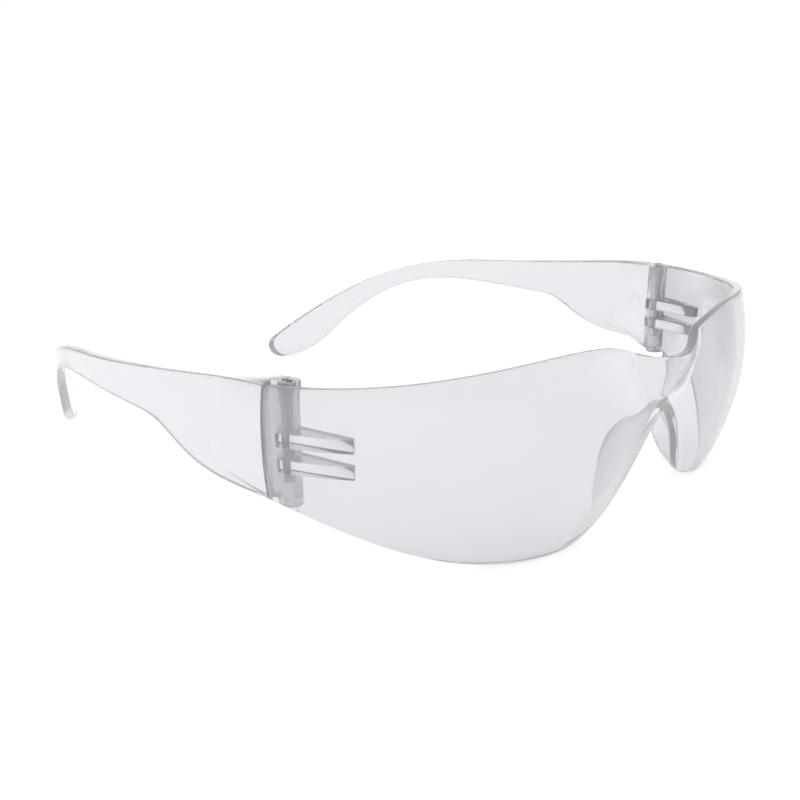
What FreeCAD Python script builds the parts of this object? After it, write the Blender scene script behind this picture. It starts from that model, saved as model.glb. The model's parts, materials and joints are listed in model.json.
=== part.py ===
"""Wrap-around safety spectacles: a one-piece lens, two folding temples and two hinge screws.

Working frame, in millimetres: X to the wearer's left, Y from the lens towards the ears, Z up along
the hinge screws. X = 0 is the middle plane, Y = 0 holds both screw axes, and Z = 0 is the top of the
screw heads. Each finished piece is then tipped and lifted by its Placement, so that the spectacles
stand on Z = 0 on the lens's two lobes and the two temple tips, with the origin under their middle.
"""
import FreeCAD, Part
import math
import os
import Sketcher
from FreeCAD import Placement, Rotation, Vector

# name, size and meaning of each driving dimension
DIMENSIONS = [
    ("hinge_half_span", 67.5, "middle plane to screw axis"),
    ("lens_thickness", 2.0, "polycarbonate wall of the lens"),
    ("lens_bow_radius", 51.8, "vertical radius of the lens"),
    ("crest_height", -10.15, "height where lens and temples bulge furthest out"),
    ("ridge_depth", 4.4, "how far the bridge swells forward at the brow"),
    ("ridge_foot", -14.3, "height of the nose arch, where the swell ends"),
    ("ridge_height", 12.5, "height over which the swell grows"),
    ("ridge_narrow", 10.0, "half width of the swell at its foot"),
    ("ridge_widening", 5.0, "growth of that half width up to the brow"),
    ("rim_thickness", 1.6, "wall of the nose rim"),
    ("temple_thickness", 2.2, "wall of the temple plate"),
    ("bow_fade_start", 30.0, "distance behind the hinge where the temple's bulge starts to fade"),
    ("bow_fade_length", 45.0, "length over which the bulge fades out"),
    ("hinge_gap", 0.25, "gap between the lens's rear edge and the temple's shoulder"),
    ("barrel_radius", 2.15, "hinge barrel"),
    ("barrel_top", 0.25, "top of the barrel, above the screw head"),
    ("barrel_bottom", -23.2, "bottom of the barrel"),
    ("lug_height", 2.6, "thickness of a lens lug along the screw"),
    ("upper_lug_bottom", -11.3, "underside of the upper lug"),
    ("lower_lug_bottom", -16.3, "underside of the lower lug"),
    ("lug_reach", 17.5, "length of the lens edge that a lug follows"),
    ("lug_end_width", 1.3, "blunt front end of a lug, measured off the wall"),
    ("lug_clearance", 0.12, "play above and below a lug"),
    ("pocket_clearance", 0.3, "play round a lug in the temple, and round the barrel in the lens"),
    ("lens_bore_radius", 0.86, "running bore of the lugs"),
    ("temple_bore_radius", 0.8, "tapped bore of the bottom knuckle"),
    ("shank_bore_radius", 1.05, "bore of the top knuckle"),
    ("head_bore_radius", 1.4, "counterbore for the screw head"),
    ("head_radius", 1.3, "screw head"),
    ("head_height", 1.7, "screw head"),
    ("shank_radius", 0.98, "plain shank under the head"),
    ("shank_length", 2.4, "plain shank under the head"),
    ("thread_radius", 0.8, "M1.6 thread"),
    ("tapped_bore_bottom", -18.6, "blind end of the tapped bore"),
    ("block_joint", 71.8, "side face of the hinge block, inside the plate"),
    ("sweep_depth", 8.0, "depth of the space a lug sweeps through"),
    ("thread_length", 13.9, "M1.6 thread"),
    ("recess_width", 0.45, "bar of the cross recess"),
    ("recess_length", 1.7, "bar of the cross recess"),
    ("recess_depth", 0.8, "bar of the cross recess"),
]
# Steps in which the lens plan is read, and blanks that reach well past the finished outline.
PLAN_STEPS = 60
WALL_STATIONS = 57
PAST_THE_LENS = 80
PAST_THE_SIDE = 90
PAST_THE_EDGE = 60
AHEAD_OF_SHOULDER = 12
SHOULDER_OUTWARD = 4
SHOULDER_INWARD = 3.2
SWEEP_FRONT = 6

# Lens, seen from above at crest height: middle of the wall, from the hinge to the middle plane.
LENS_PLAN = [(72.35, 1.6), (68.55, -8.65), (61.55, -19.5), (50.9, -29.85), (38.3, -37.45),
             (27.65, -40.1), (18.5, -39.7), (9.15, -38.4), (0.0, -38.2)]
# Lens, seen from the front (X, Z): brow edge, from the middle plane to beyond the hinge.
BROW = [(0.0, -2.1), (8.4, -1.2), (17.6, 1.8), (26.8, 4.0), (35.0, 4.3), (44.2, 3.4), (58.6, 1.3),
        (76.0, -0.5)]
# Lens, seen from the front (X, Z): cheek edge, from beyond the hinge down to the lobe's inner corner.
CHEEK = [(76.0, -17.8), (71.7, -22.0), (63.7, -28.2), (52.7, -33.7), (42.4, -36.5), (33.5, -37.2),
         (25.5, -36.8), (20.5, -35.6)]
# Nose edge: top of the arch to the foot of the lobe, as (X, Y, Z), with the rear edge of its rim.
NOSE_FRONT = [(0.0, -38.0, -14.3), (2.4, -38.0, -15.8), (5.2, -37.5, -18.8), (8.2, -36.7, -22.8),
              (10.9, -35.6, -27.2), (13.6, -34.5, -31.1), (16.8, -33.4, -34.1)]
NOSE_REAR = [(0.0, -34.6, -15.2), (3.2, -34.0, -16.4), (5.9, -32.6, -18.4), (8.5, -31.4, -21.6),
             (10.9, -31.1, -25.3), (13.4, -31.6, -29.3), (16.4, -32.4, -33.0)]
# Temple, seen from above at crest height: middle of the plate, from the hinge to the tip.
TEMPLE_PLAN = [(72.45, -1.0), (72.4, 15.0), (71.1, 38.0), (67.6, 66.0), (59.3, 89.8), (45.8, 111.7),
               (37.2, 123.0)]
# Temple, seen from the side (Y, Z): upper edge, round the tip, lower edge.
TEMPLE_SIDE = [(0.0, 0.0), (8.0, -0.2), (22.8, -1.6), (54.8, -4.8), (77.4, -7.3), (92.5, -12.0),
               (109.5, -22.5), (120.2, -31.6), (122.8, -35.5), (121.0, -39.3), (115.9, -38.9),
               (104.2, -28.1), (92.3, -18.0), (81.2, -13.3), (67.5, -11.7), (54.2, -12.1),
               (41.0, -12.7), (35.2, -13.5), (30.3, -15.9), (23.3, -19.3), (13.0, -21.2), (0.0, -21.7)]
# Hinge block of the temple, seen from above (X, Y): inner side, from the barrel to the plate.
BLOCK_INNER = [(65.4, 0.3), (66.1, 3.2), (67.7, 6.8), (69.9, 12.6), (71.6, 19.0)]
# Hinge block, seen from the side (Y, Z): flat top, slope to the plate, chamfered lower corner.
BLOCK_SIDE = [(-3.5, 0.25), (3.4, 0.25), (19.0, -1.6), (19.0, -18.0), (5.5, -21.3), (-1.7, -23.2),
              (-3.5, -23.2)]
SIDES = ((1, "left"), (-1, "right"))
LUGS = ("upper", "lower")

document = FreeCAD.newDocument("safety_glasses")
sheet = document.addObject("Spreadsheet::Sheet", "Dimensions")
for row, (alias, size, meaning) in enumerate(DIMENSIONS, start=1):
    sheet.set(f"A{row}", meaning)
    sheet.set(f"B{row}", str(size))
    sheet.setAlias(f"B{row}", alias)
document.recompute()


def dim(alias):
    return float(sheet.get(alias))


def bind(item, **expressions):
    """Tie properties of a document object to the spreadsheet."""
    for path, expression in expressions.items():
        item.setExpression(path.replace("__", "."), expression)
    return item


def spline(points):
    curve = Part.BSplineCurve()
    curve.interpolate([Vector(*point) for point in points])
    return curve


def mirrored(points):
    """A half outline that starts or ends on the middle plane, made whole."""
    opposite = [(-point[0],) + tuple(point[1:]) for point in points]
    if points[0][0] == 0:
        return opposite[:0:-1] + points
    return points + opposite[-2::-1]


def plan_stations(points, count):
    """Evenly spaced (place, outward) pairs along a plan curve that runs with its outside on the left."""
    curve = spline([(x, y, 0) for x, y in points])
    stations = []
    for place in curve.discretize(Number=count):
        along = curve.tangent(curve.parameter(place))[0]
        stations.append((place, Vector(-along.y, along.x, 0)))
    return stations


def curved_sheet(stations, heights, thickness, inward, panels):
    """A closed sheet over the stations; inward(place, height) gives its sag and the sag's slope."""
    def skin(side):
        rows = []
        for place, outward in stations:
            row = []
            for height in heights:
                sag, slope = inward(place, height)
                normal = (outward + Vector(0, 0, slope)).normalize()
                row.append(place - outward * sag + Vector(0, 0, height) + normal * side * thickness / 2)
            rows.append(row)
        surface = Part.BSplineSurface()
        surface.interpolate(rows)
        return surface

    def panel(surface, index):
        piece = surface.copy()
        piece.segment(index / panels, (index + 1) / panels, 0, 1)
        return piece.toShape()

    outer, inner = skin(1), skin(-1)
    faces = []
    for index in range(panels):
        pair = [panel(outer, index), panel(inner, index)]
        front, lower, rear, upper = [Part.makeRuledSurface(a, b) for a, b in zip(*(p.Edges for p in pair))]
        faces += pair + [lower, upper]
        if index == 0:
            faces.append(front)
        if index == panels - 1:
            faces.append(rear)
    shell = Part.makeShell(faces)
    shell.sewShape()
    solid = Part.makeSolid(shell)
    if solid.Volume < 0:
        solid.reverse()
    return solid


def bow(height, radius):
    """Sag and its slope, of an arc of the given radius about the crest."""
    rise = height - dim("crest_height")
    return rise * rise / (2 * radius), rise / radius


def bridge_swell(across, height):
    """How far the wall stands forward at the bridge: most at the brow, nothing at the nose arch."""
    rise = min(max((height - dim("ridge_foot")) / dim("ridge_height"), 0), 1)
    share = rise * rise * (3 - 2 * rise)
    reach = min(abs(across) / (dim("ridge_narrow") + dim("ridge_widening") * share), 1)
    return dim("ridge_depth") * share * (1 - reach * reach) ** 2


def lens_sag(place, height):
    sag, slope = bow(height, dim("lens_bow_radius"))
    near = 0.05
    steepness = (bridge_swell(place.x, height + near) - bridge_swell(place.x, height - near)) / (2 * near)
    return sag - bridge_swell(place.x, height), slope - steepness


def temple_sag(place, height):
    """The temple carries the lens's bow on behind the hinge, and flattens towards the ear."""
    sag, slope = bow(height, dim("lens_bow_radius"))
    behind = (place.y - dim("bow_fade_start")) / dim("bow_fade_length")
    keep = 1 - min(max(behind, 0), 1)
    return sag * keep, slope * keep


def shape_feature(name, shape):
    item = document.addObject("Part::Feature", name)
    item.Shape = shape
    return item


def extruded(name, outline, direction, **expressions):
    """A flat outline pushed along a direction, with its lengths tied to the spreadsheet."""
    base = shape_feature(name + "_outline", Part.Face(outline))
    item = document.addObject("Part::Extrusion", name)
    item.Base = base
    item.Dir = direction
    item.Solid = True
    return bind(item, **expressions)


def cylinder(name, side, radius, bottom, height):
    """An upright cylinder on one hinge axis."""
    item = document.addObject("Part::Cylinder", name)
    item.Placement = Placement(Vector(side * dim("hinge_half_span"), 0, 0), Rotation())
    return bind(item, Radius=radius, Height=height, Placement__Base__z=bottom)


def combined(kind, name, shapes):
    item = document.addObject(kind, name)
    item.Shapes = shapes
    return item


def cut(name, base, tools):
    item = document.addObject("Part::Cut", name)
    item.Base = base
    item.Tool = tools[0] if len(tools) == 1 else combined("Part::MultiFuse", name + "_tools", tools)
    return item


def spline_band(first, second):
    """Closed outline of two splines that run opposite ways, joined by straight ends."""
    edges = []
    for points in (first, second):
        edges.append(spline(points).toShape())
    corners = [(points[0], points[-1]) for points in (first, second)]
    edges.insert(1, Part.makeLine(Vector(*corners[0][1]), Vector(*corners[1][0])))
    edges.append(Part.makeLine(Vector(*corners[1][1]), Vector(*corners[0][0])))
    return Part.Wire(edges)


def polygon(points):
    corners = [Vector(*point) for point in points]
    return Part.makePolygon(corners + corners[:1])


def nose_rim():
    """The rim that rests on the nose: a wall that runs back from the nose edge and fades at its ends."""
    front = mirrored(NOSE_FRONT)
    rear = mirrored(NOSE_REAR)
    sections = []
    for index, (start, end) in enumerate(zip(front, rear)):
        before = Vector(*front[max(index - 1, 0)])
        after = Vector(*front[min(index + 1, len(front) - 1)])
        depth = Vector(*end) - Vector(*start)
        away = (after - before).cross(depth).normalize() * dim("rim_thickness")
        start, end = Vector(*start), Vector(*end)
        sections.append(polygon([start, end, end + away, start + away]))
    return Part.makeLoft(sections, True, False)


def lug_outline(side):
    """Plan of a lens lug: from the screw axis to the wall, and forwards to its blunt end."""
    stations = plan_stations(LENS_PLAN, PLAN_STEPS)
    length = sum((b[0] - a[0]).Length for a, b in zip(stations, stations[1:])) / (len(stations) - 1)
    reach = stations[:round(dim("lug_reach") / length) + 1]
    place, outward = reach[-1]
    blunt = place - outward * (dim("lens_thickness") / 2 + dim("lug_end_width"))
    axis = dim("hinge_half_span")
    points = [Vector(axis, 0, 0), Vector(axis - dim("barrel_radius"), 0, 0), blunt]
    points += [station[0] for station in reversed(reach[1:])]
    return polygon([(side * point.x, point.y, 0) for point in points])


def build_lens():
    heights = [-42, -28, dim("ridge_foot"), -8, -2, 9]
    wall = curved_sheet(plan_stations(mirrored(LENS_PLAN), WALL_STATIONS), heights, dim("lens_thickness"),
                        lens_sag, 8)
    nose = [(x, z) for x, y, z in reversed(NOSE_FRONT)]
    brow = [(x, -PAST_THE_EDGE, z) for x, z in mirrored(BROW)]
    cheek = [(x, -PAST_THE_EDGE, z) for x, z in mirrored(CHEEK + nose)]
    outline = extruded("lens_front", spline_band(brow, cheek), Vector(0, PAST_THE_LENS, 0))
    blank = combined("Part::MultiCommon", "lens_blank", [shape_feature("lens_wall", wall), outline])
    reliefs = [cylinder(f"relief_{name}", side, "Dimensions.barrel_radius + Dimensions.pocket_clearance",
                        "2 * Dimensions.barrel_bottom", "-3 * Dimensions.barrel_bottom")
               for side, name in SIDES]
    adds = [cut("lens_relieved", blank, reliefs), shape_feature("nose_rim", nose_rim())]
    bores = []
    for side, name in SIDES:
        for level in LUGS:
            bottom = f"Dimensions.{level}_lug_bottom"
            adds.append(extruded(f"{level}_lug_{name}", lug_outline(side), Vector(0, 0, 1),
                                 LengthFwd="Dimensions.lug_height", Placement__Base__z=bottom))
            adds.append(cylinder(f"{level}_knuckle_{name}", side, "Dimensions.barrel_radius", bottom,
                                 "Dimensions.lug_height"))
        bores.append(cylinder(f"lens_bore_{name}", side, "Dimensions.lens_bore_radius",
                              "Dimensions.barrel_bottom", "-Dimensions.barrel_bottom"))
    return cut("lens", combined("Part::MultiFuse", "lens_body", adds), bores)


def temple_plate(side, name):
    """The plate, cut in front by the shoulder that meets the lens's rear edge."""
    heights = [-46, -20, 6]
    stations = []
    for place, outward in plan_stations(TEMPLE_PLAN, 15):
        stations.append((Vector(side * place.x, place.y, 0), Vector(-side * outward.x, -outward.y, 0)))
    wall = curved_sheet(stations, heights, dim("temple_thickness"), temple_sag, 5)
    curve = spline([(0, y, z) for y, z in TEMPLE_SIDE])
    length = curve.LastParameter
    edges = [curve.toShape(length * part / 6, length * (part + 1) / 6) for part in range(6)]
    edges.append(Part.makeLine(Vector(0, *TEMPLE_SIDE[-1]), Vector(0, *TEMPLE_SIDE[0])))
    outline = extruded(f"plate_side_{name}", Part.Wire(edges), Vector(side * PAST_THE_SIDE, 0, 0))
    return combined("Part::MultiCommon", f"plate_blank_{name}",
                    [shape_feature(f"plate_wall_{name}", wall), outline])


def shoulder_corners(side):
    """Outer and inner end of the temple's shoulder line, just behind the lens's rear edge."""
    place, outward = plan_stations(LENS_PLAN, PLAN_STEPS)[0]
    middle = place + Vector(-outward.y, outward.x, 0) * dim("hinge_gap")
    ends = [middle + outward * SHOULDER_OUTWARD, middle - outward * SHOULDER_INWARD]
    return [Vector(side * end.x, end.y, 0) for end in ends]


def hinge_block(side, name):
    """Solid between barrel and plate, rounded off towards the ear and chamfered below."""
    outer, inner = shoulder_corners(side)
    joint = dim("block_joint")
    axis = Vector(side * dim("hinge_half_span"), 0, 0)
    flank = spline([(side * x, y, 0) for x, y in BLOCK_INNER]).toShape()
    start, end = [Vector(side * x, y, 0) for x, y in (BLOCK_INNER[0], BLOCK_INNER[-1])]
    shoulder = inner + (outer - inner) * ((joint - abs(inner.x)) / (abs(outer.x) - abs(inner.x)))
    corners = [end, Vector(side * joint, end.y, 0), shoulder, inner, axis, start]
    rest = Part.makePolygon(corners)
    plan = extruded(f"block_plan_{name}", Part.Wire([flank] + rest.Edges), Vector(0, 0, 1),
                    LengthFwd="Dimensions.barrel_top - Dimensions.barrel_bottom",
                    Placement__Base__z="Dimensions.barrel_bottom")
    profile = extruded(f"block_side_{name}", polygon([(0, y, z) for y, z in BLOCK_SIDE]),
                       Vector(side * PAST_THE_SIDE, 0, 0))
    return combined("Part::MultiCommon", f"block_{name}", [plan, profile])


def barrel(side, name):
    return cylinder(f"barrel_{name}", side, "Dimensions.barrel_radius", "Dimensions.barrel_bottom",
                    "Dimensions.barrel_top - Dimensions.barrel_bottom")


def lug_pockets(side, name):
    """Pockets that take the lens's lugs, open to the front and to the inside."""
    pockets = []
    for level in LUGS:
        bottom = f"Dimensions.{level}_lug_bottom - Dimensions.lug_clearance"
        height = "Dimensions.lug_height + 2 * Dimensions.lug_clearance"
        radius = "Dimensions.barrel_radius + Dimensions.pocket_clearance"
        pockets.append(cylinder(f"{level}_pocket_{name}", side, radius, bottom, height))
        sweep = document.addObject("Part::Box", f"{level}_sweep_{name}")
        axis = side * dim("hinge_half_span")
        nearest = min(axis, axis - side * dim("sweep_depth"))
        sweep.Placement = Placement(Vector(nearest, -SWEEP_FRONT, 0), Rotation())
        bind(sweep, Length="Dimensions.sweep_depth", Width=f"{SWEEP_FRONT} + {radius}", Height=height,
             Placement__Base__z=bottom)
        pockets.append(sweep)
    return pockets


def screw_bores(side, name):
    """Stepped bore of the temple: counterbore, shank, running length and tapped end."""
    steps = (("head", "Dimensions.head_bore_radius", "-Dimensions.head_height"),
             ("shank", "Dimensions.shank_bore_radius",
              "-Dimensions.head_height - Dimensions.shank_length"),
             ("running", "Dimensions.lens_bore_radius", "Dimensions.lower_lug_bottom"),
             ("tapped", "Dimensions.temple_bore_radius", "Dimensions.tapped_bore_bottom"))
    bores = []
    for step, radius, bottom in steps:
        bores.append(cylinder(f"{step}_bore_{name}", side, radius, bottom,
                              f"Dimensions.barrel_top + 1 - ({bottom})"))
    return bores


def build_temple(side, name):
    outer, inner = shoulder_corners(side)
    ahead = Vector(0, -AHEAD_OF_SHOULDER, 0)
    relief = extruded(f"shoulder_{name}", polygon([outer, inner, inner + ahead, outer + ahead]),
                      Vector(0, 0, PAST_THE_EDGE), Placement__Base__z="2 * Dimensions.barrel_bottom")
    plate = cut(f"plate_{name}", temple_plate(side, name), [relief])
    solid = combined("Part::MultiFuse", f"temple_body_{name}",
                     [plate, hinge_block(side, name), barrel(side, name)])
    return cut(f"temple_{name}", solid, lug_pockets(side, name) + screw_bores(side, name))


def screw_profile(body):
    """Half section of the screw on the XZ plane: head, shank and thread, hanging from the origin."""
    sketch = body.newObject("Sketcher::SketchObject", body.Name + "_profile")
    sketch.AttachmentSupport = [(origin_plane(body, "XZ_Plane"), "")]
    sketch.MapMode = "FlatFace"
    reach = [dim("head_radius"), dim("shank_radius"), dim("thread_radius")]
    lengths = [dim("head_height"), dim("shank_length"), dim("thread_length")]
    corners, level = [Vector(0, 0, 0)], 0
    for radius, length in zip(reach, lengths):
        corners += [Vector(radius, level, 0), Vector(radius, level - length, 0)]
        level -= length
    corners.append(Vector(0, level, 0))
    for start, end in zip(corners, corners[1:] + corners[:1]):
        sketch.addGeometry(Part.LineSegment(start, end), False)
    last = len(corners) - 1
    for line in range(last + 1):
        following = (line + 1) % (last + 1)
        sketch.addConstraint(Sketcher.Constraint("Coincident", line, 2, following, 1))
        direction = "Vertical" if line % 2 else "Horizontal"
        sketch.addConstraint(Sketcher.Constraint(direction, line))
    sketch.addConstraint(Sketcher.Constraint("Coincident", 0, 1, -1, 1))
    for step, name in enumerate(("head", "shank", "thread")):
        edge = 2 * step + 1
        radius = sketch.addConstraint(Sketcher.Constraint("DistanceX", -1, 1, edge, 1, reach[step]))
        sketch.renameConstraint(radius, name + "_radius")
        sketch.setExpression(f"Constraints.{name}_radius", f"Dimensions.{name}_radius")
        length = sketch.addConstraint(Sketcher.Constraint("DistanceY", edge, 2, edge, 1, lengths[step]))
        size = "head_height" if name == "head" else name + "_length"
        sketch.renameConstraint(length, size)
        sketch.setExpression(f"Constraints.{size}", f"Dimensions.{size}")
    return sketch


def origin_plane(body, role):
    return next(item for item in body.Origin.OriginFeatures if item.Role == role)


def recess_sketch(body):
    """One bar of the cross recess, centred on the axis, on top of the head."""
    sketch = body.newObject("Sketcher::SketchObject", body.Name + "_recess_bar")
    sketch.AttachmentSupport = [(origin_plane(body, "XY_Plane"), "")]
    sketch.MapMode = "FlatFace"
    reach, half = dim("recess_length") / 2, dim("recess_width") / 2
    corners = [Vector(-reach, -half), Vector(reach, -half), Vector(reach, half), Vector(-reach, half)]
    for start, end in zip(corners, corners[1:] + corners[:1]):
        sketch.addGeometry(Part.LineSegment(start, end), False)
    for line in range(4):
        sketch.addConstraint(Sketcher.Constraint("Coincident", line, 2, (line + 1) % 4, 1))
        sketch.addConstraint(Sketcher.Constraint("Vertical" if line % 2 else "Horizontal", line))
    sketch.addConstraint(Sketcher.Constraint("Symmetric", 0, 1, 1, 2, -1, 1))
    length = sketch.addConstraint(Sketcher.Constraint("DistanceX", 0, 1, 0, 2, 2 * reach))
    width = sketch.addConstraint(Sketcher.Constraint("DistanceY", 1, 1, 1, 2, 2 * half))
    sketch.renameConstraint(length, "recess_length")
    sketch.renameConstraint(width, "recess_width")
    sketch.setExpression("Constraints.recess_length", "Dimensions.recess_length")
    sketch.setExpression("Constraints.recess_width", "Dimensions.recess_width")
    return sketch


def build_screw(name):
    """Hinge screw: turned about its axis, with a cross recess in the head."""
    body = document.addObject("PartDesign::Body", f"hinge_screw_{name}")
    profile = screw_profile(body)
    turned = body.newObject("PartDesign::Revolution", f"turned_{name}")
    turned.Profile = profile
    turned.ReferenceAxis = (profile, ["V_Axis"])
    turned.Angle = 360
    document.recompute()
    recess = body.newObject("PartDesign::Pocket", f"recess_{name}")
    recess.Profile = recess_sketch(body)
    recess.setExpression("Length", "Dimensions.recess_depth")
    document.recompute()
    cross = body.newObject("PartDesign::PolarPattern", f"cross_{name}")
    cross.Originals = [recess]
    cross.Axis = (profile, ["V_Axis"])
    cross.Angle = 90
    cross.Occurrences = 2
    body.Tip = cross
    document.recompute()
    if cross.Shape.Volume >= turned.Shape.Volume:
        raise RuntimeError("the cross recess of the screw removes nothing")
    return body


def standing_placement(lens_shape, temple_shape):
    """The placement that stands the spectacles on Z = 0, with the origin under their middle."""
    def tipped_box(tilt, shape):
        tipped = shape.transformed(Placement(Vector(), Rotation(Vector(1, 0, 0), tilt)).Matrix, True)
        return tipped.optimalBoundingBox(False, False)

    low, high = 0.0, 5.0
    while high - low > 1e-4:
        tilt = (low + high) / 2
        if tipped_box(tilt, temple_shape).ZMin < tipped_box(tilt, lens_shape).ZMin:
            low = tilt
        else:
            high = tilt
    lens_box, temple_box = tipped_box(tilt, lens_shape), tipped_box(tilt, temple_shape)
    middle = (lens_box.YMin + temple_box.YMax) / 2
    return Placement(Vector(0, -middle, -lens_box.ZMin), Rotation(Vector(1, 0, 0), tilt))


lens = build_lens()
temples = [build_temple(side, name) for side, name in SIDES]
screws = [build_screw(name) for side, name in SIDES]
document.recompute()

standing = standing_placement(lens.Shape, temples[0].Shape)
pieces = [lens] + temples + screws
for piece in [lens] + temples:
    piece.Placement = standing
for screw, (side, name) in zip(screws, SIDES):
    screw.Placement = standing.multiply(Placement(Vector(side * dim("hinge_half_span"), 0, 0), Rotation()))
document.recompute()

for item in document.Objects:
    if "Invalid" in item.State or "Error" in item.State:
        raise RuntimeError(f"{item.Label} failed: {item.State}")
for piece in pieces:
    if piece.Shape.isNull() or not piece.Shape.isValid() or len(piece.Shape.Solids) != 1:
        raise RuntimeError(f"{piece.Label} is not one valid solid")
os.makedirs("parts", exist_ok=True)
for piece in pieces:
    piece.Shape.exportStep(f"parts/{piece.Label}.step")
for side, name in SIDES:
    place = standing.multVec(Vector(side * dim("hinge_half_span"), 0, 0))
    print(f"hinge axis {name}: through {place}, along {standing.Rotation.multVec(Vector(0, 0, 1))}")
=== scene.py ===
"""Clear wrap-around safety spectacles: one-piece lens, two folding temples and two hinge screws.

The pieces are shaped in the maker's frame, in millimetres: X to the wearer's left, Y from the lens
towards the ears, Z up along the hinge screws, with Z = 0 on top of the screw heads. `standing` then
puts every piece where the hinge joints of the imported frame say.
"""
import json
import math

import bmesh
import bpy
import numpy as np
from mathutils import Matrix, Vector


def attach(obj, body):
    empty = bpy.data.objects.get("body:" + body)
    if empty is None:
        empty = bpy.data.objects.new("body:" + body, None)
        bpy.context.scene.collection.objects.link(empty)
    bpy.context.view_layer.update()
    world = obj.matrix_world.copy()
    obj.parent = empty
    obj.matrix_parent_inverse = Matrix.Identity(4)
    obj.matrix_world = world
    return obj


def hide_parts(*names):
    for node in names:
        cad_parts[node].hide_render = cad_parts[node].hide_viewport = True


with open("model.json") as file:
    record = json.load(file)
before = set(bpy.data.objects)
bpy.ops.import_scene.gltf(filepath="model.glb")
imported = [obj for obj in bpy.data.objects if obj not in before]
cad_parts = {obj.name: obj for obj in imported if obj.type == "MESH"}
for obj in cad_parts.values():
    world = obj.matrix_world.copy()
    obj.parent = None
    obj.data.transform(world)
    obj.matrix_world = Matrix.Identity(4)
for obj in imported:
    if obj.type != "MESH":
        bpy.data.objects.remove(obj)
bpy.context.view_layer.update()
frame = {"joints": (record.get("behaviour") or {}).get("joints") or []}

# ---------------------------------------------------------------- sizes, in millimetres
HINGE_HALF_SPAN = 67.5
LENS_WALL = 2.0
TEMPLE_WALL = 2.2
BOW_RADIUS = 51.8
CREST_HEIGHT = -10.15
RIM_WALL = 1.6
RIDGE_DEPTH = 4.4
RIDGE_FOOT = -14.3
RIDGE_HEIGHT = 12.5
RIDGE_NARROW = 7.2
RIDGE_WIDENING = 6.4
RIDGE_CREASE = 1.35
SLOPE_STEP = 0.05
RIM_FADE = (14.2, 17.2)
RIM_END = 16.8
EDGE_DEPTH = 0.7
EDGE_ROOT = 0.6
HINGE_GAP = 0.25
SHOULDER_OUTWARD = 4
SHOULDER_INWARD = 3.2
BARREL_RADIUS = 2.15
BARREL_TOP = 0.25
BARREL_BOTTOM = -23.2
LUG_HEIGHT = 2.6
LUG_BOTTOMS = (-11.3, -16.3)
LUG_REACH = 17.5
LUG_END_WIDTH = 1.3
LUG_PLAY = 0.12
POCKET_PLAY = 0.3
POCKET_INNER = 59.5
POCKET_FRONT = -6
RUNNING_BORE = 0.86
BOW_FADE_START = 30.0
BOW_FADE_LENGTH = 45.0

LENS_PLAN = [(72.35, 1.6), (68.55, -8.65), (61.55, -19.5), (50.9, -29.85), (38.3, -37.45),
             (27.65, -40.1), (18.5, -39.7), (9.15, -38.4), (0.0, -38.2)]
BROW = [(0.0, -2.1), (8.4, -1.2), (17.6, 1.8), (26.8, 3.88), (35.0, 4.15), (44.2, 3.3), (58.6, 1.3),
        (76.0, -0.5)]
LOWER_EDGE = [(0.0, -14.3), (2.4, -15.8), (5.2, -18.8), (8.2, -22.8), (10.9, -27.2), (13.6, -31.1),
              (16.8, -34.0), (20.5, -35.35), (25.5, -36.45), (33.5, -36.8), (42.4, -36.2),
              (52.7, -33.7), (63.7, -28.2), (71.7, -22.0), (76.0, -17.8)]
# Rear edge of the nose rim: X of the nose edge it starts from, then its own X, Y, Z.
NOSE_REAR = [(0.0, 0.0, -34.6, -15.2), (2.4, 3.2, -34.0, -16.4), (5.2, 5.9, -32.6, -18.4),
             (8.2, 8.5, -31.4, -21.6), (10.9, 10.9, -31.1, -25.3), (13.6, 13.4, -31.6, -29.3),
             (16.8, 16.4, -32.4, -33.0)]
TEMPLE_PLAN = [(72.45, -1.0), (72.4, 15.0), (71.1, 38.0), (67.6, 66.0), (59.3, 89.8), (45.8, 111.7),
               (37.2, 123.0)]
TEMPLE_SIDE = [(0.0, 0.0), (8.0, -0.2), (22.8, -1.6), (54.8, -4.8), (77.4, -7.3), (92.5, -12.0),
               (109.5, -22.5), (120.2, -31.6), (122.8, -35.5), (121.0, -39.3), (115.9, -38.9),
               (104.2, -28.1), (92.3, -18.0), (81.2, -13.3), (67.5, -11.7), (54.2, -12.1),
               (41.0, -12.7), (35.2, -13.5), (30.3, -15.9), (23.3, -19.3), (13.0, -21.2), (0.0, -21.7)]
TIP_PLACE = 0.503
BLOCK_INNER = [(65.4, 0.3), (66.1, 3.2), (67.7, 6.8), (69.9, 12.6), (71.6, 19.0)]
BLOCK_SIDE = [(-3.5, 0.25), (3.4, 0.25), (19.0, -1.6), (19.0, -18.0), (5.5, -21.3), (-1.7, -23.2),
              (-3.5, -23.2)]
BLOCK_JOINT = 71.8
# Radius and bottom of each step of the temple's bore, from the top.
SCREW_BORES = ((1.4, -1.7), (1.05, -4.1), (RUNNING_BORE, -16.3), (0.8, -18.6))
SCREW_PROFILE = [(0, 0.0), (1.12, 0.0), (1.24, -0.05), (1.3, -0.18), (1.3, -1.6), (1.22, -1.7),
                 (0.98, -1.7), (0.98, -3.95), (0.84, -4.1), (0.66, -4.2), (0.66, -17.7),
                 (0.45, -17.95), (0, -17.97)]
RECESS_HALF_LENGTH = 0.85
RECESS_HALF_WIDTH = 0.225
RECESS_DEPTH = 0.8
THREAD_TURNS = 38.0
THREAD_PITCH = 0.35
THREAD_ROOT = 0.66
THREAD_RIDGE = 0.13
THREAD_TOP = -4.2

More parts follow.
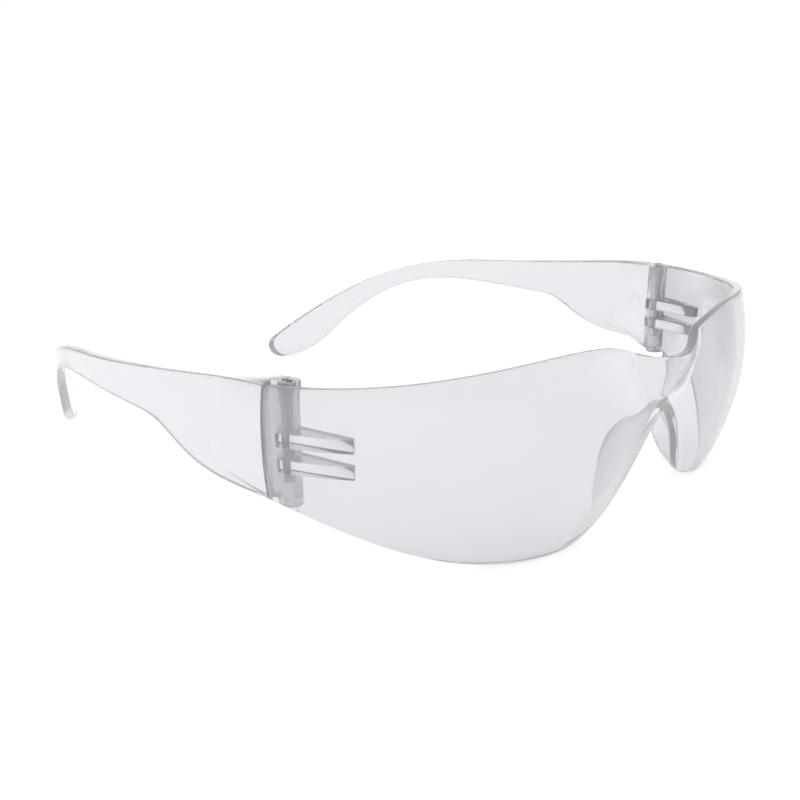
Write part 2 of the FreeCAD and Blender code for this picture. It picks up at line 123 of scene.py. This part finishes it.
# ---------------------------------------------------------------- the frame's place
hinge = next(joint for joint in frame["joints"] if joint["name"] == "hinge_left")
upward = Vector(hinge["axis"]).normalized()
sideways = Vector((1, 0, 0))
turn = Matrix((sideways, upward.cross(sideways), upward)).transposed().to_4x4()
middle = Vector(hinge["pos_m"]) - sideways * HINGE_HALF_SPAN / 1000
standing = Matrix.Translation(middle) @ turn @ Matrix.Scale(0.001, 4)


# ---------------------------------------------------------------- curves
class Curve:
    """Natural cubic spline through points, read at a position along it."""

    def __init__(self, points, places=None):
        self.points = np.array(points, float).reshape(len(points), -1)
        if places is None:
            steps = np.linalg.norm(np.diff(self.points, axis=0), axis=1)
            places = np.concatenate([[0], np.cumsum(steps)]) / steps.sum()
        self.places = np.array(places, float)
        gaps = np.diff(self.places)[:, None]
        slopes = np.diff(self.points, axis=0) / gaps
        count = len(self.points)
        system, right = np.eye(count), np.zeros_like(self.points)
        for row in range(1, count - 1):
            before, after = gaps[row - 1, 0], gaps[row, 0]
            system[row, row - 1:row + 2] = before, 2 * (before + after), after
            right[row] = 6 * (slopes[row] - slopes[row - 1])
        self.bends = np.linalg.solve(system, right)

    def at(self, place):
        """Point of the curve at a position."""
        last = len(self.places) - 2
        row = min(max(int(np.searchsorted(self.places, place)) - 1, 0), last)
        gap = self.places[row + 1] - self.places[row]
        after = (place - self.places[row]) / gap
        before = 1 - after
        value = before * self.points[row] + after * self.points[row + 1]
        bend = (before ** 3 - before) * self.bends[row] + (after ** 3 - after) * self.bends[row + 1]
        return value + bend * gap * gap / 6

    def along(self, place):
        """Direction of the curve at a position."""
        step = (self.places[-1] - self.places[0]) * 1e-4
        return (self.at(place + step) - self.at(place - step)) / (2 * step)


def heights_over(points):
    """Height of an edge over X, the same on both sides of the middle plane."""
    whole = [(-x, z) for x, z in points[:0:-1]] + list(points)
    return Curve([z for x, z in whole], [x for x, z in whole])


def smooth_step(value, low, high):
    """0 below `low`, 1 above `high`, and an even rise between."""
    share = min(max((value - low) / (high - low), 0.0), 1.0)
    return share * share * (3 - 2 * share)


# ---------------------------------------------------------------- mesh helpers
def new_piece(name, points, faces):
    """A mesh object from points in the maker's frame, closed and facing outwards."""
    mesh = bpy.data.meshes.new(name)
    mesh.from_pydata([tuple(point) for point in points], [], faces)
    mesh.validate()
    piece = bpy.data.objects.new(name, mesh)
    bpy.context.scene.collection.objects.link(piece)
    tidy_mesh(piece)
    return piece


def tidy_mesh(piece, reach=1e-4):
    """Merges doubles closer than `reach`, drops empty faces and turns the rest outwards."""
    work = bmesh.new()
    work.from_mesh(piece.data)
    bmesh.ops.remove_doubles(work, verts=work.verts, dist=reach)
    bmesh.ops.dissolve_degenerate(work, edges=work.edges, dist=reach)
    bmesh.ops.recalc_face_normals(work, faces=work.faces)
    work.to_mesh(piece.data)
    work.free()


def baked(piece):
    """The piece with its modifiers applied, and the modifiers gone."""
    graph = bpy.context.evaluated_depsgraph_get()
    mesh = bpy.data.meshes.new_from_object(piece.evaluated_get(graph))
    piece.modifiers.clear()
    piece.data = mesh
    return piece


def carved(piece, tools, operation):
    """Boolean of the piece with each tool; the tools are used up."""
    for tool in tools:
        step = piece.modifiers.new("carve", "BOOLEAN")
        step.operation = operation
        step.solver = "EXACT"
        step.object = tool
        baked(piece)
        bpy.data.objects.remove(tool)
    return piece


def bevelled(piece, width, segments=2, angle=35.0):
    """The piece with every edge sharper than `angle` degrees rounded off."""
    step = piece.modifiers.new("edge", "BEVEL")
    step.width = width
    step.segments = segments
    step.limit_method = "ANGLE"
    step.angle_limit = math.radians(angle)
    return baked(piece)


def prism(name, outline, lift):
    """A flat outline pushed along the vector `lift`."""
    base = [Vector(point) for point in outline]
    top = [point + Vector(lift) for point in base]
    count = len(base)
    walls = [(i, (i + 1) % count, (i + 1) % count + count, i + count) for i in range(count)]
    return new_piece(name, base + top, walls + [tuple(range(count)), tuple(range(count, 2 * count))])


def turned(name, profile, axis_x, segments=64):
    """A solid turned about an upright axis, from (radius, height) pairs that run from axis to axis."""
    points, rings = [], []
    for radius, height in profile:
        count = 1 if radius == 0 else segments
        rings.append(range(len(points), len(points) + count))
        for step in range(count):
            angle = math.tau * step / segments
            points.append((axis_x + radius * math.cos(angle), radius * math.sin(angle), height))
    faces = []
    for lower, upper in zip(rings, rings[1:]):
        for step in range(segments):
            ahead = (step + 1) % segments
            corners = [lower[step % len(lower)], lower[ahead % len(lower)],
                       upper[ahead % len(upper)], upper[step % len(upper)]]
            faces.append(tuple(dict.fromkeys(corners)))
    return new_piece(name, points, faces)


def rod(name, radius, bottom, top, axis_x=HINGE_HALF_SPAN):
    """A plain upright cylinder on a screw axis, used to build and to cut."""
    return turned(name, [(0, bottom), (radius, bottom), (radius, top), (0, top)], axis_x)


def rounded_loop(roundings, runs, segments=3):
    """Closed section from runs of (path, count), with the given rounding radius where two runs meet."""
    total = len(roundings)
    samples = []
    most = 0.45
    for index, (path, count) in enumerate(runs):
        start, end = path(0.0), path(1.0)
        length = max((end - start).length, 1e-6)
        low = min(roundings[index] / length, most)
        high = 1 - min(roundings[(index + 1) % total] / length, most)
        samples.append([path(low + (high - low) * step / (count - 1)) for step in range(count)])
    loop = []
    for index in range(total):
        loop += samples[index]
        start, peak = samples[index][-1], runs[index][0](1.0)
        end = samples[(index + 1) % total][0]
        for step in range(1, segments):
            share = step / segments
            loop.append(start * (1 - share) ** 2 + peak * 2 * share * (1 - share) + end * share ** 2)
    return loop


def straight(start, end):
    """Path of a straight run."""
    return lambda share: start.lerp(end, share)


def skinned(name, loops):
    """A closed solid over a row of sections that all have the same number of points."""
    count = len(loops[0])
    faces = []
    for row in range(len(loops) - 1):
        for step in range(count):
            ahead = (step + 1) % count
            faces.append((row * count + step, row * count + ahead,
                          (row + 1) * count + ahead, (row + 1) * count + step))
    faces += [tuple(range(count)), tuple(range((len(loops) - 1) * count, len(loops) * count))]
    return new_piece(name, [point for loop in loops for point in loop], faces)


def finished(piece, material, body, nodes, sharp=32.0):
    """Sets the piece in the frame with its finish, and lets it ride on its body."""
    piece.data.transform(standing)
    piece.data.materials.clear()
    piece.data.materials.append(material)
    tidy_mesh(piece, 1e-7)
    piece.data.shade_smooth()
    piece.data.set_sharp_from_angle(angle=math.radians(sharp))
    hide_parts(*nodes)
    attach(piece, body)


# ---------------------------------------------------------------- lens
plan = Curve([(-x, y) for x, y in LENS_PLAN[:-1]] + LENS_PLAN[::-1])
brow = heights_over(BROW)
lower_edge = heights_over(LOWER_EDGE)
rear_rows = [(-p, -x, y, z) for p, x, y, z in NOSE_REAR[:0:-1]] + NOSE_REAR
nose_rear = Curve([row[1:] for row in rear_rows], [row[0] for row in rear_rows])


def lens_station(place):
    """Point of the plan curve at crest height, and the way out of the wall."""
    x, y = plan.at(place)
    across = plan.along(place)
    return Vector((x, y, 0)), Vector((across[1], -across[0], 0)).normalized()


def bridge_swell(across, height):
    """How far the wall stands forward at the bridge: most at the brow, nothing at the nose arch."""
    share = smooth_step(height, RIDGE_FOOT, RIDGE_FOOT + RIDGE_HEIGHT)
    reach = min(abs(across) / (RIDGE_NARROW + RIDGE_WIDENING * share), 1)
    return RIDGE_DEPTH * share * (1 - reach * reach) ** RIDGE_CREASE


def lens_point(station, height, side):
    """Point on the outer (side 1), middle (0) or inner (-1) surface of the lens."""
    foot, outward = station
    rise = height - CREST_HEIGHT
    swell = bridge_swell(foot.x, height)
    step = SLOPE_STEP
    steepness = (bridge_swell(foot.x, height + step) - bridge_swell(foot.x, height - step)) / (2 * step)
    across = (bridge_swell(foot.x + step, height) - bridge_swell(foot.x - step, height)) / (2 * step)
    normal = outward + Vector((-across, 0, rise / BOW_RADIUS - steepness))
    normal.normalize()
    sag = rise * rise / (2 * BOW_RADIUS) - swell
    return foot - outward * sag + Vector((0, 0, height)) + normal * side * LENS_WALL / 2


def edge_height(station, edge, side):
    """Height at which a surface of the lens meets an edge that is drawn from the front."""
    height = float(edge.at(station[0].x)[0])
    for _ in range(12):
        height = float(edge.at(lens_point(station, height, side).x)[0])
    return height


def lens_section(place):
    """Closed section of the lens, with the nose rim drawn back to its rear edge near the middle."""
    station = lens_station(place)
    low_out, low_in = edge_height(station, lower_edge, 1), edge_height(station, lower_edge, -1)
    top_out, top_in = edge_height(station, brow, 1), edge_height(station, brow, -1)
    foot = lens_point(station, low_out, 0)
    inner_foot = lens_point(station, low_in, -1)
    keep = 1 - smooth_step(abs(foot.x), *RIM_FADE)
    slope = float(lower_edge.along(foot.x)[0])
    depth = EDGE_DEPTH + (RIM_WALL * math.sqrt(1 + slope * slope) - EDGE_DEPTH) * keep
    rear_low = inner_foot.copy()
    if keep > 0:
        rear_low = inner_foot.lerp(Vector(nose_rear.at(max(min(foot.x, RIM_END), -RIM_END))), keep)
    rear_high = lens_point(station, low_in + depth, -1).lerp(rear_low + Vector((0, 0, depth)), keep)
    root = lens_point(station, low_in + depth + EDGE_ROOT, -1)
    outer_low, outer_top = lens_point(station, low_out, 1), lens_point(station, top_out, 1)
    inner_top = lens_point(station, top_in, -1)

    def outer(share):
        return lens_point(station, low_out + (top_out - low_out) * share, 1)

    def inner(share):
        return lens_point(station, top_in + (low_in + depth + EDGE_ROOT - top_in) * share, -1)

    roundings = [0.3, 0.3, 0.3, 0.5, 0.3, 0.3]
    runs = [(outer, 44), (straight(outer_top, inner_top), 3), (inner, 40),
            (straight(root, rear_high), 5), (straight(rear_high, rear_low), 3),
            (straight(rear_low, outer_low), 6)]
    return rounded_loop(roundings, runs)


def lug(bottom):
    """Lug of the lens: from the screw axis along the wall to its blunt front end, with its knuckle."""
    whole = [lens_station(1 - step / 240) for step in range(60)]
    reach = whole[:1]
    gone = 0.0
    for last, station in zip(whole, whole[1:]):
        gone += (station[0] - last[0]).length
        if gone > LUG_REACH:
            break
        reach.append(station)
    foot, outward = reach[-1]
    blunt = foot - outward * (LENS_WALL / 2 + LUG_END_WIDTH)
    outline = [Vector((HINGE_HALF_SPAN, 0, 0)), Vector((HINGE_HALF_SPAN - BARREL_RADIUS, 0, 0)), blunt]
    outline += [station[0] for station in reversed(reach[2:])]
    fin = prism("fin", [point + Vector((0, 0, bottom)) for point in outline], (0, 0, LUG_HEIGHT))
    bevelled(fin, 0.22, 3, 50)
    knuckle = rod("knuckle", BARREL_RADIUS, bottom, bottom + LUG_HEIGHT)
    return carved(bevelled(knuckle, 0.12), [fin], "UNION")


def mirrored_copy(piece, name):
    """The same piece on the other side of the middle plane, facing outwards."""
    mesh = piece.data.copy()
    mesh.transform(Matrix.Scale(-1, 4, (1, 0, 0)))
    mesh.flip_normals()
    twin = bpy.data.objects.new(name, mesh)
    bpy.context.scene.collection.objects.link(twin)
    return twin


def make_lens():
    """The lens with its reliefs round the barrels, its lugs and their bores."""
    lens = skinned("lens_shell", [lens_section(step / 260) for step in range(261)])
    reliefs = [rod("relief", BARREL_RADIUS + POCKET_PLAY, 2 * BARREL_BOTTOM, 10, side * HINGE_HALF_SPAN)
               for side in (1, -1)]
    carved(lens, reliefs, "DIFFERENCE")
    lugs = [lug(bottom) for bottom in LUG_BOTTOMS]
    lugs += [mirrored_copy(item, "lug_twin") for item in lugs]
    carved(lens, lugs, "UNION")
    bores = [rod("bore", RUNNING_BORE, -22, -6, side * HINGE_HALF_SPAN) for side in (1, -1)]
    return carved(lens, bores, "DIFFERENCE")


# ---------------------------------------------------------------- temple
temple_plan = Curve([x for x, y in TEMPLE_PLAN], [y for x, y in TEMPLE_PLAN])
temple_outline = Curve(TEMPLE_SIDE)


def temple_point(y, z, side):
    """Point on the outer or inner face of the temple over (Y, Z)."""
    rise = z - CREST_HEIGHT
    place = y
    for _ in range(3):
        keep = 1 - min(max((place - BOW_FADE_START) / BOW_FADE_LENGTH, 0), 1)
        slope = float(temple_plan.along(place)[0])
        outward = Vector((1, -slope, 0)).normalized()
        normal = (outward + Vector((0, 0, keep * rise / BOW_RADIUS))).normalized()
        shift = -outward * keep * rise * rise / (2 * BOW_RADIUS) + normal * side * TEMPLE_WALL / 2
        place = y - shift.y
    point = Vector((float(temple_plan.at(place)[0]), place, 0)) + shift
    return Vector((point.x, y, z + normal.z * side * TEMPLE_WALL / 2))


def temple_section(share):
    """Closed section of the temple between its upper and lower edge, from the shoulder to the tip."""
    upper = temple_outline.at(TIP_PLACE * share)
    lower = temple_outline.at(1 - (1 - TIP_PLACE) * share)
    height = float(np.linalg.norm(upper - lower))

    def face(side, start, end):
        return lambda part: temple_point(*(start + (end - start) * part), side)

    corners = [temple_point(*lower, 1), temple_point(*upper, 1), temple_point(*upper, -1),
               temple_point(*lower, -1)]
    edge = min(0.45, 0.45 * height)
    runs = [(face(1, lower, upper), 18), (straight(corners[1], corners[2]), 3),
            (face(-1, upper, lower), 18), (straight(corners[3], corners[0]), 3)]
    return rounded_loop([edge] * 4, runs, 4)


def shoulder_line():
    """Outer and inner end of the shoulder, just behind the rear edge of the lens."""
    foot, outward = lens_station(1)
    start = foot + Vector((-outward.y, outward.x, 0)) * HINGE_GAP
    return start + outward * SHOULDER_OUTWARD, start - outward * SHOULDER_INWARD


def hinge_block():
    """Solid between barrel and plate, rounded off towards the ear and chamfered below."""
    outer, inner = shoulder_line()
    shoulder = inner.lerp(outer, (BLOCK_JOINT - inner.x) / (outer.x - inner.x))
    flank = Curve(BLOCK_INNER)
    outline = [(*flank.at(step / 10), 0) for step in range(11)]
    outline += [(BLOCK_JOINT, BLOCK_INNER[-1][1], 0), shoulder, inner, (HINGE_HALF_SPAN, 0, 0)]
    depth = Vector((0, 0, BARREL_BOTTOM))
    block = prism("block", [Vector(point) + depth for point in outline],
                  (0, 0, BARREL_TOP - BARREL_BOTTOM))
    side_view = prism("side_view", [(60, y, z) for y, z in BLOCK_SIDE], (20, 0, 0))
    return bevelled(carved(block, [side_view], "INTERSECT"), 0.2, 2, 40)


def make_temple():
    """The left temple: plate, hinge block and barrel, cut for the shoulder, the lugs and the screw."""
    shares = [1 - (1 - step / 170) ** 1.6 * 0.9995 for step in range(170)]
    shares[0] = 0.0
    temple = skinned("temple_plate", [temple_section(share) for share in shares])
    outer, inner = shoulder_line()
    ahead = Vector((0, -12, 0))
    deep = Vector((0, 0, -45))
    shoulder = prism("shoulder", [outer + deep, inner + deep, inner + ahead + deep, outer + ahead + deep],
                     (0, 0, 60))
    carved(temple, [shoulder], "DIFFERENCE")
    barrel = bevelled(rod("barrel", BARREL_RADIUS, BARREL_BOTTOM, BARREL_TOP), 0.15)
    carved(temple, [hinge_block(), barrel], "UNION")
    cuts = []
    for bottom in LUG_BOTTOMS:
        low, high = bottom - LUG_PLAY, bottom + LUG_HEIGHT + LUG_PLAY
        reach = BARREL_RADIUS + POCKET_PLAY
        cuts.append(rod("pocket", reach, low, high))
        cuts.append(prism("sweep", [(POCKET_INNER, POCKET_FRONT, low), (HINGE_HALF_SPAN, POCKET_FRONT, low),
                                    (HINGE_HALF_SPAN, reach, low), (POCKET_INNER, reach, low)],
                          (0, 0, high - low)))
    top = 1.0
    for radius, bottom in SCREW_BORES:
        cuts.append(rod("bore", radius, bottom, top))
        top = bottom + 0.02
    return carved(temple, cuts, "DIFFERENCE")


# ---------------------------------------------------------------- hinge screw
def thread_tree(material):
    """Geometry Nodes: a ridge wound round the screw, with its sizes as named inputs."""
    tree = bpy.data.node_groups.new("screw_thread", "GeometryNodeTree")
    tree.interface.new_socket("Geometry", in_out="OUTPUT", socket_type="NodeSocketGeometry")
    inputs = {"Turns": THREAD_TURNS, "Pitch": THREAD_PITCH, "Root radius": THREAD_ROOT,
              "Ridge": THREAD_RIDGE, "Top": THREAD_TOP, "Axis X": HINGE_HALF_SPAN}
    for name, value in inputs.items():
        socket = tree.interface.new_socket(name, in_out="INPUT", socket_type="NodeSocketFloat")
        socket.default_value = value
    nodes, link = tree.nodes, tree.links.new
    given = nodes.new("NodeGroupInput")
    result = nodes.new("NodeGroupOutput")
    height = nodes.new("ShaderNodeMath")
    height.operation = "MULTIPLY"
    link(given.outputs["Turns"], height.inputs[0])
    link(given.outputs["Pitch"], height.inputs[1])
    drop = nodes.new("ShaderNodeMath")
    drop.operation = "SUBTRACT"
    link(given.outputs["Top"], drop.inputs[0])
    link(height.outputs[0], drop.inputs[1])
    helix = nodes.new("GeometryNodeCurveSpiral")
    helix.inputs["Resolution"].default_value = 24
    link(given.outputs["Turns"], helix.inputs["Rotations"])
    link(given.outputs["Root radius"], helix.inputs["Start Radius"])
    link(given.outputs["Root radius"], helix.inputs["End Radius"])
    link(height.outputs[0], helix.inputs["Height"])
    ridge = nodes.new("GeometryNodeCurvePrimitiveCircle")
    ridge.inputs["Resolution"].default_value = 4
    link(given.outputs["Ridge"], ridge.inputs["Radius"])
    sweep = nodes.new("GeometryNodeCurveToMesh")
    sweep.inputs["Fill Caps"].default_value = True
    link(helix.outputs["Curve"], sweep.inputs["Curve"])
    link(ridge.outputs["Curve"], sweep.inputs["Profile Curve"])
    where = nodes.new("ShaderNodeCombineXYZ")
    link(given.outputs["Axis X"], where.inputs["X"])
    link(drop.outputs[0], where.inputs["Z"])
    move = nodes.new("GeometryNodeTransform")
    link(sweep.outputs["Mesh"], move.inputs["Geometry"])
    link(where.outputs["Vector"], move.inputs["Translation"])
    real = nodes.new("GeometryNodeRealizeInstances")
    coat = nodes.new("GeometryNodeSetMaterial")
    coat.inputs["Material"].default_value = material
    link(move.outputs["Geometry"], real.inputs["Geometry"])
    link(real.outputs["Geometry"], coat.inputs["Geometry"])
    link(coat.outputs["Geometry"], result.inputs["Geometry"])
    return tree


def make_screw(material):
    """Screw with a cross recess, a plain shank and a rolled thread."""
    screw = turned("screw_core", SCREW_PROFILE, HINGE_HALF_SPAN, 40)
    bars = []
    along, across = RECESS_HALF_LENGTH, RECESS_HALF_WIDTH
    for half_x, half_y in ((along, across), (across, along)):
        corners = [(HINGE_HALF_SPAN + sx * half_x, sy * half_y, -RECESS_DEPTH)
                   for sx, sy in ((-1, -1), (1, -1), (1, 1), (-1, 1))]
        bars.append(prism("bar", corners, (0, 0, 2)))
    carved(screw, bars, "DIFFERENCE")
    holder = bpy.data.objects.new("thread", bpy.data.meshes.new("thread"))
    bpy.context.scene.collection.objects.link(holder)
    winding = holder.modifiers.new("thread", "NODES")
    winding.node_group = thread_tree(material)
    turns = next(item for item in winding.node_group.interface.items_tree if item.name == "Turns")
    winding[turns.identifier] = THREAD_TURNS
    baked(holder)
    work = bmesh.new()
    work.from_mesh(screw.data)
    work.from_mesh(holder.data)
    for face in work.faces:
        face.material_index = 0
    work.to_mesh(screw.data)
    work.free()
    bpy.data.objects.remove(holder)
    return screw


# ---------------------------------------------------------------- finishes
def shader(name):
    """A new node material, with its nodes, its link call and its surface shader."""
    material = bpy.data.materials.new(name)
    material.use_nodes = True
    nodes = material.node_tree.nodes
    return material, nodes, material.node_tree.links.new, nodes["Principled BSDF"]


def noise(nodes, link, scale, detail, stretch=(1, 1, 1)):
    """Noise over the piece, in metres, stretched where asked."""
    where = nodes.new("ShaderNodeTexCoord")
    shape = nodes.new("ShaderNodeMapping")
    shape.inputs["Scale"].default_value = stretch
    grain = nodes.new("ShaderNodeTexNoise")
    grain.inputs["Scale"].default_value = scale
    grain.inputs["Detail"].default_value = detail
    link(where.outputs["Object"], shape.inputs["Vector"])
    link(shape.outputs["Vector"], grain.inputs["Vector"])
    return grain.outputs["Fac"]


def ramp(nodes, link, source, stops):
    """A colour between two stops of (place, colour)."""
    band = nodes.new("ShaderNodeValToRGB")
    for element, (place, colour) in zip(band.color_ramp.elements, stops):
        element.position = place
        element.color = (*colour, 1)
    link(source, band.inputs["Fac"])
    return band.outputs["Color"]


def spread(nodes, link, source, low, high):
    """A number between `low` and `high`."""
    band = nodes.new("ShaderNodeMapRange")
    band.inputs["To Min"].default_value = low
    band.inputs["To Max"].default_value = high
    link(source, band.inputs["Value"])
    return band.outputs["Result"]


def bump(nodes, link, source, strength, distance):
    """Fine relief, `distance` deep in metres."""
    relief = nodes.new("ShaderNodeBump")
    relief.inputs["Strength"].default_value = strength
    relief.inputs["Distance"].default_value = distance
    link(source, relief.inputs["Height"])
    return relief.outputs["Normal"]


def polycarbonate(name, clear, shaded, rough_low, rough_high, wave, haze):
    """Clear moulded polycarbonate: a cool tint, handling marks, a moulding wave and a faint haze."""
    material, nodes, link, surface = shader(name)
    surface.inputs["IOR"].default_value = 1.586
    surface.inputs["Transmission Weight"].default_value = 1 - haze
    tint = noise(nodes, link, 38, 2)
    link(ramp(nodes, link, tint, [(0.3, shaded), (0.7, clear)]), surface.inputs["Base Color"])
    marks = noise(nodes, link, 900, 4, (1, 0.35, 1))
    link(spread(nodes, link, marks, rough_low, rough_high), surface.inputs["Roughness"])
    swell = noise(nodes, link, 55, 1)
    link(bump(nodes, link, swell, wave, 0.0004), surface.inputs["Normal"])
    return material


def screw_steel():
    """Turned steel: fine rings from the lathe and slightly uneven brightness."""
    material, nodes, link, surface = shader("hinge_screw_steel")
    surface.inputs["Metallic"].default_value = 1.0
    surface.inputs["Anisotropic"].default_value = 0.4
    bright = noise(nodes, link, 700, 3)
    link(ramp(nodes, link, bright, [(0.3, (0.50, 0.50, 0.51)), (0.7, (0.68, 0.68, 0.69))]),
         surface.inputs["Base Color"])
    rings = noise(nodes, link, 2500, 3, (1, 1, 6))
    link(spread(nodes, link, rings, 0.22, 0.42), surface.inputs["Roughness"])
    link(bump(nodes, link, rings, 0.25, 0.00003), surface.inputs["Normal"])
    return material


lens_finish = polycarbonate("lens_polycarbonate", (0.77, 0.76, 0.789), (0.757, 0.747, 0.777),
                            0.004, 0.02, 0.05, 0.2)
temple_finish = polycarbonate("temple_polycarbonate", (0.826, 0.814, 0.842), (0.812, 0.8, 0.829),
                              0.02, 0.06, 0.12, 0.25)
steel = screw_steel()

# ---------------------------------------------------------------- the pieces
lens = make_lens()
temple_left = make_temple()
temple_right = mirrored_copy(temple_left, "temple_right_piece")
screw_left = make_screw(steel)
screw_right = mirrored_copy(screw_left, "screw_right_piece")
for piece, name in ((lens, "lens_piece"), (temple_left, "temple_left_piece"),
                    (temple_right, "temple_right_piece"), (screw_left, "hinge_screw_left_piece"),
                    (screw_right, "hinge_screw_right_piece")):
    piece.name = name

finished(lens, lens_finish, "lens", ["lens"])
for side, temple, screw in (("left", temple_left, screw_left), ("right", temple_right, screw_right)):
    finished(temple, temple_finish, f"temple_{side}", [f"temple_{side}"])
    finished(screw, steel, f"temple_{side}", [f"hinge_screw_{side}"], 40.0)


# ---------------------------------------------------------------- studio
def make_stage():
    """Wide pale floor."""
    count, reach = 96, 8.0
    points = [(reach * math.cos(math.tau * step / count), reach * math.sin(math.tau * step / count), 0)
              for step in range(count)]
    mesh = bpy.data.meshes.new("studio_floor")
    mesh.from_pydata(points, [], [tuple(range(count))])
    floor = bpy.data.objects.new("studio_floor", mesh)
    bpy.context.scene.collection.objects.link(floor)
    material, _, _, surface = shader("studio_white")
    surface.inputs["Base Color"].default_value = (0.86, 0.86, 0.86, 1)
    surface.inputs["Roughness"].default_value = 0.9
    surface.inputs["Specular IOR Level"].default_value = 0.0
    surface.inputs["Emission Color"].default_value = (1, 1, 1, 1)
    surface.inputs["Emission Strength"].default_value = 0.42
    mesh.materials.append(material)


def softbox(name, place, aim, size, power):
    """A square lamp at `place` that faces `aim`."""
    light = bpy.data.lights.new(name, "AREA")
    light.shape = "RECTANGLE"
    light.size, light.size_y = size
    light.energy = power
    lamp = bpy.data.objects.new(name, light)
    lamp.location = place
    lamp.rotation_euler = (Vector(aim) - Vector(place)).to_track_quat("-Z", "Y").to_euler()
    bpy.context.scene.collection.objects.link(lamp)


make_stage()
softbox("key", (-0.5, -0.6, 1.5), (0, 0, 0), (1.4, 1.4), 3.2)
softbox("fill", (0.9, -0.3, 1.3), (0, 0, 0), (1.2, 1.2), 1.8)


def make_world():
    """Pale walls that darken softly towards the ceiling."""
    world = bpy.data.worlds.new("studio")
    world.use_nodes = True
    nodes, link = world.node_tree.nodes, world.node_tree.links.new
    where = nodes.new("ShaderNodeTexCoord")
    split = nodes.new("ShaderNodeSeparateXYZ")
    link(where.outputs["Generated"], split.inputs["Vector"])
    walls = nodes.new("ShaderNodeValToRGB")
    walls.color_ramp.elements[0].position = 0.3
    walls.color_ramp.elements[0].color = (1.0, 0.995, 1.0, 1)
    walls.color_ramp.elements[1].position = 0.8
    walls.color_ramp.elements[1].color = (0.68, 0.675, 0.69, 1)
    link(split.outputs["Z"], walls.inputs["Fac"])
    link(walls.outputs["Color"], nodes["Background"].inputs["Color"])
    nodes["Background"].inputs["Strength"].default_value = 1.03
    bpy.context.scene.world = world


make_world()
bpy.context.scene.view_settings.view_transform = "Standard"
bpy.context.scene.cycles.max_bounces = 24
bpy.context.scene.cycles.transmission_bounces = 24


def make_camera(place, azimuth, elevation, roll, focal_length):
    """Camera that looks along azimuth (0 is +Y) and down by elevation, in degrees."""
    lens_data = bpy.data.cameras.new("camera")
    lens_data.lens = focal_length
    lens_data.sensor_width = 36
    lens_data.clip_start = 0.01
    camera = bpy.data.objects.new("camera", lens_data)
    a, e, r = (math.radians(value) for value in (azimuth, elevation, roll))
    ahead = Vector((math.sin(a) * math.cos(e), math.cos(a) * math.cos(e), -math.sin(e)))
    right = Vector((math.cos(a), -math.sin(a), 0))
    down = ahead.cross(right)
    turned_right = right * math.cos(r) + down * math.sin(r)
    turned_down = down * math.cos(r) - right * math.sin(r)
    basis = Matrix((turned_right, -turned_down, -ahead)).transposed().to_4x4()
    camera.matrix_world = Matrix.Translation(place) @ basis
    bpy.context.scene.collection.objects.link(camera)
    bpy.context.scene.camera = camera


make_camera((-0.19333, -0.17920, 0.09212), 48.22, 17.39, 1.38, 48.79)
